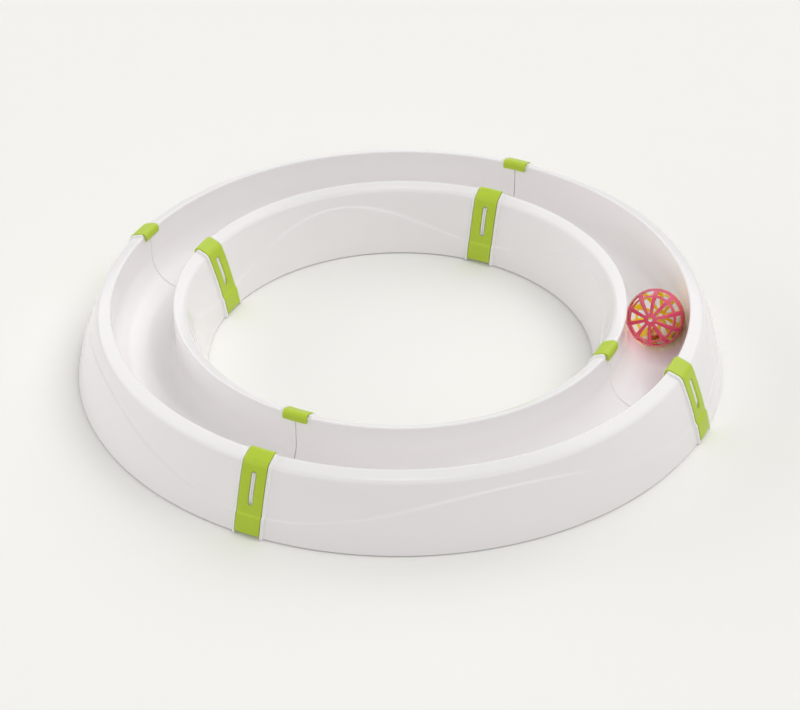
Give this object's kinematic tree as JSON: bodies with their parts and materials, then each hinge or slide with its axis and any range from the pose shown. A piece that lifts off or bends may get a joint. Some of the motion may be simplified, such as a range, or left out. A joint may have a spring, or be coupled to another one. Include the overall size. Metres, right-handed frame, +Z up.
{
  "type": "cat ball track toy",
  "caption": "Low white ring-shaped track of curved channel sections held by green spring clips, with a lattice ball and bell that rolls round in the channel.",
  "frame": {"origin": "centre of the ring on the surface that its foot pads stand on", "axes": "+Z up along the ring's axis; the joints between the sections lie on +X, +Y, -X and -Y, with +X called right and -Y called front"},
  "size_m": [0.4406, 0.4406, 0.0505],
  "materials": {
    "track_white": "glossy moulded white",
    "clip_green": "satin lime green",
    "foot_rubber": "soft grey rubber",
    "ball_pink": "glossy pink",
    "ball_yellow": "glossy yellow",
    "bell_brass": "thin stamped brass",
    "pellet_steel": "plain steel shot"
  },
  "bodies": {
    "track": {"section_front_right": "track_white", "section_back_right": "track_white", "section_back_left": "track_white", "section_front_left": "track_white", "foot_front_right_1": "foot_rubber", "foot_front_right_2": "foot_rubber", "foot_front_right_3": "foot_rubber", "foot_back_right_1": "foot_rubber", "foot_back_right_2": "foot_rubber", "foot_back_right_3": "foot_rubber", "foot_back_left_1": "foot_rubber", "foot_back_left_2": "foot_rubber", "foot_back_left_3": "foot_rubber", "foot_front_left_1": "foot_rubber", "foot_front_left_2": "foot_rubber", "foot_front_left_3": "foot_rubber"},
    "outer_clip_right": {"outer_clip_right": "clip_green"},
    "outer_clip_back": {"outer_clip_back": "clip_green"},
    "outer_clip_left": {"outer_clip_left": "clip_green"},
    "outer_clip_front": {"outer_clip_front": "clip_green"},
    "inner_clip_right": {"inner_clip_right": "clip_green"},
    "inner_clip_back": {"inner_clip_back": "clip_green"},
    "inner_clip_left": {"inner_clip_left": "clip_green"},
    "inner_clip_front": {"inner_clip_front": "clip_green"},
    "bell": {"bell_cap": "bell_brass", "bell_cup": "bell_brass", "bell_pellet": "pellet_steel"},
    "ball": {"ball_pink_half": "ball_pink", "ball_yellow_half": "ball_yellow"}
  },
  "joints": [
    {"name": "outer_clip_right_lift", "type": "slide", "parent": "track", "child": "outer_clip_right", "axis": [0, 0, 1], "range_m": [0, 0.055]},
    {"name": "outer_clip_back_lift", "type": "slide", "parent": "track", "child": "outer_clip_back", "axis": [0, 0, 1], "range_m": [0, 0.055]},
    {"name": "outer_clip_left_lift", "type": "slide", "parent": "track", "child": "outer_clip_left", "axis": [0, 0, 1], "range_m": [0, 0.055]},
    {"name": "outer_clip_front_lift", "type": "slide", "parent": "track", "child": "outer_clip_front", "axis": [0, 0, 1], "range_m": [0, 0.055]},
    {"name": "inner_clip_right_lift", "type": "slide", "parent": "track", "child": "inner_clip_right", "axis": [0, 0, 1], "range_m": [0, 0.055]},
    {"name": "inner_clip_back_lift", "type": "slide", "parent": "track", "child": "inner_clip_back", "axis": [0, 0, 1], "range_m": [0, 0.055]},
    {"name": "inner_clip_left_lift", "type": "slide", "parent": "track", "child": "inner_clip_left", "axis": [0, 0, 1], "range_m": [0, 0.055]},
    {"name": "inner_clip_front_lift", "type": "slide", "parent": "track", "child": "inner_clip_front", "axis": [0, 0, 1], "range_m": [0, 0.055]},
    {"name": "ball_orbit", "type": "hinge", "parent": "track", "child": "bell", "pos_m": [0, 0, 0], "axis": [0, 0, 1], "continuous": true},
    {"name": "ball_roll", "type": "hinge", "parent": "bell", "child": "ball", "pos_m": [0.15442, 0.078, 0.0275], "axis": [0.8926, 0.4509, 0], "continuous": true}
  ],
  "couplings": [
    {"joint": "ball_roll", "follows": "ball_orbit", "ratio": -8.65}
  ]
}
